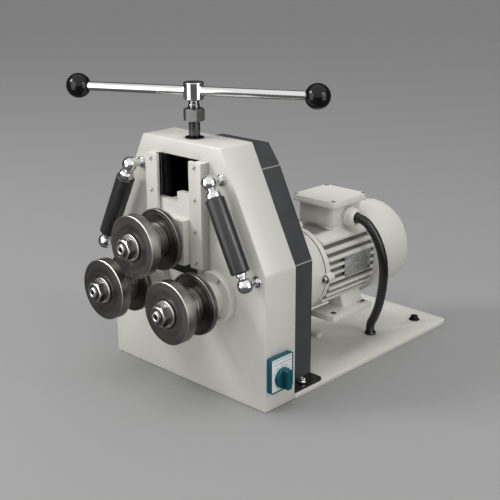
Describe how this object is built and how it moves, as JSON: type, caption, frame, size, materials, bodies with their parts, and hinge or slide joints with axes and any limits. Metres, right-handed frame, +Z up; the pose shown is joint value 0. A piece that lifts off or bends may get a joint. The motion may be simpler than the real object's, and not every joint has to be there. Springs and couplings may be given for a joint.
{
  "type": "pipe bending machine",
  "caption": "Bench pipe bending machine: grooved bending rolls on a cream housing, a hand screw with a cross bar for the upper roll, and a flange motor driving the lower rolls.",
  "frame": {"origin": "centre of the base plate's footprint, on its underside", "axes": "+X to the right hand of someone who faces the rolls, +Y from the rolls towards the motor's fan, +Z up"},
  "size_m": [0.4044, 0.6371, 0.4983],
  "materials": {
    "cream": "cream machine enamel, satin",
    "grey": "dark grey enamel, satin",
    "black_metal": "blackened steel",
    "turned_steel": "turned dark steel",
    "bright_steel": "ground bright steel",
    "chrome": "bright chrome plating",
    "black_plastic": "polished black plastic",
    "sleeve": "dark plastic tube",
    "teal_plastic": "moulded teal plastic",
    "conduit": "ribbed black plastic hose"
  },
  "bodies": {
    "machine": {"base_plate": "cream", "bearing_flange_left": "cream", "bearing_flange_right": "cream", "cable_gland": "cream", "cover_hood": "grey", "cover_lower": "grey", "fan_cover": "cream", "front_housing": "cream", "gib_left": "cream", "gib_right": "cream", "guide_rail_left": "chrome", "guide_rail_right": "chrome", "left_front_bearing": "bright_steel", "left_rear_bearing": "bright_steel", "motor_conduit": "conduit", "motor_frame": "cream", "motor_front_shield": "cream", "motor_stator": "turned_steel", "rear_bearing_plate": "black_metal", "reducer_housing": "grey", "right_front_bearing": "bright_steel", "right_rear_bearing": "bright_steel", "spindle_bush": "black_metal", "switch_body": "teal_plastic", "terminal_box": "cream", "terminal_lid": "cream"},
    "carriage_body": {"carriage": "cream", "carriage_bush": "bright_steel"},
    "spindle_body": {"spindle": "turned_steel", "spindle_hub": "chrome", "tee_bar": "chrome", "bar_knob_left": "black_plastic", "bar_knob_right": "black_plastic", "stop_nut": "bright_steel"},
    "top_roll": {"top_roll_front_disc": "turned_steel", "top_roll_rear_disc": "turned_steel", "top_roll_spacer": "turned_steel", "top_roll_shaft": "bright_steel", "top_roll_washer": "bright_steel", "top_roll_nut": "bright_steel"},
    "left_roll": {"left_roll_front_disc": "turned_steel", "left_roll_rear_disc": "turned_steel", "left_roll_spacer": "turned_steel", "left_roll_shaft": "bright_steel", "left_roll_washer": "bright_steel", "left_roll_nut": "bright_steel", "roll_gear_left": "turned_steel"},
    "right_roll": {"right_roll_front_disc": "turned_steel", "right_roll_rear_disc": "turned_steel", "right_roll_spacer": "turned_steel", "right_roll_shaft": "bright_steel", "right_roll_washer": "bright_steel", "right_roll_nut": "bright_steel", "roll_gear_right": "turned_steel"},
    "idler": {"idler_gear": "turned_steel"},
    "rotor": {"motor_rotor": "turned_steel", "motor_fan": "black_plastic"},
    "switch_handle": {"switch_knob": "teal_plastic"},
    "left_guide_sleeve": {"guide_sleeve_left": "sleeve"},
    "right_guide_sleeve": {"guide_sleeve_right": "sleeve"}
  },
  "joints": [
    {"name": "carriage_slide", "type": "slide", "parent": "machine", "child": "carriage_body", "axis": [0, 0, 1], "range_m": [-0.0201, 0.0501]},
    {"name": "spindle_turn", "type": "hinge", "parent": "carriage_body", "child": "spindle_body", "pos_m": [0, -0.224, 0.4785], "axis": [0, 0, 1], "range_deg": [-1800, 4500]},
    {"name": "top_roll_spin", "type": "hinge", "parent": "carriage_body", "child": "top_roll", "pos_m": [0, -0.255, 0.2567], "axis": [0, 1, 0], "continuous": true},
    {"name": "motor_spin", "type": "hinge", "parent": "machine", "child": "rotor", "pos_m": [0.0756, -0.005, 0.169], "axis": [0, 1, 0], "continuous": true},
    {"name": "right_roll_spin", "type": "hinge", "parent": "machine", "child": "right_roll", "pos_m": [0.0756, -0.255, 0.169], "axis": [0, 1, 0], "continuous": true},
    {"name": "left_roll_spin", "type": "hinge", "parent": "machine", "child": "left_roll", "pos_m": [-0.0756, -0.255, 0.169], "axis": [0, 1, 0], "continuous": true},
    {"name": "idler_spin", "type": "hinge", "parent": "machine", "child": "idler", "pos_m": [0, -0.218, 0.1498], "axis": [0, 1, 0], "continuous": true},
    {"name": "switch_turn", "type": "hinge", "parent": "machine", "child": "switch_handle", "pos_m": [0.2, -0.227, 0.056], "axis": [1, 0, 0], "range_deg": [-60, 60]},
    {"name": "guide_left_spin", "type": "hinge", "parent": "machine", "child": "left_guide_sleeve", "pos_m": [-0.0911, -0.282, 0.3578], "axis": [-0.4532, 0, -0.8914], "continuous": true},
    {"name": "guide_right_spin", "type": "hinge", "parent": "machine", "child": "right_guide_sleeve", "pos_m": [0.0911, -0.282, 0.3578], "axis": [0.4532, 0, -0.8914], "continuous": true}
  ],
  "couplings": [
    {"joint": "carriage_slide", "follows": "spindle_turn", "m_per_rad": 0.00063662},
    {"joint": "right_roll_spin", "follows": "motor_spin", "ratio": 0.016667},
    {"joint": "left_roll_spin", "follows": "motor_spin", "ratio": 0.016667},
    {"joint": "idler_spin", "follows": "motor_spin", "ratio": -0.026667}
  ]
}
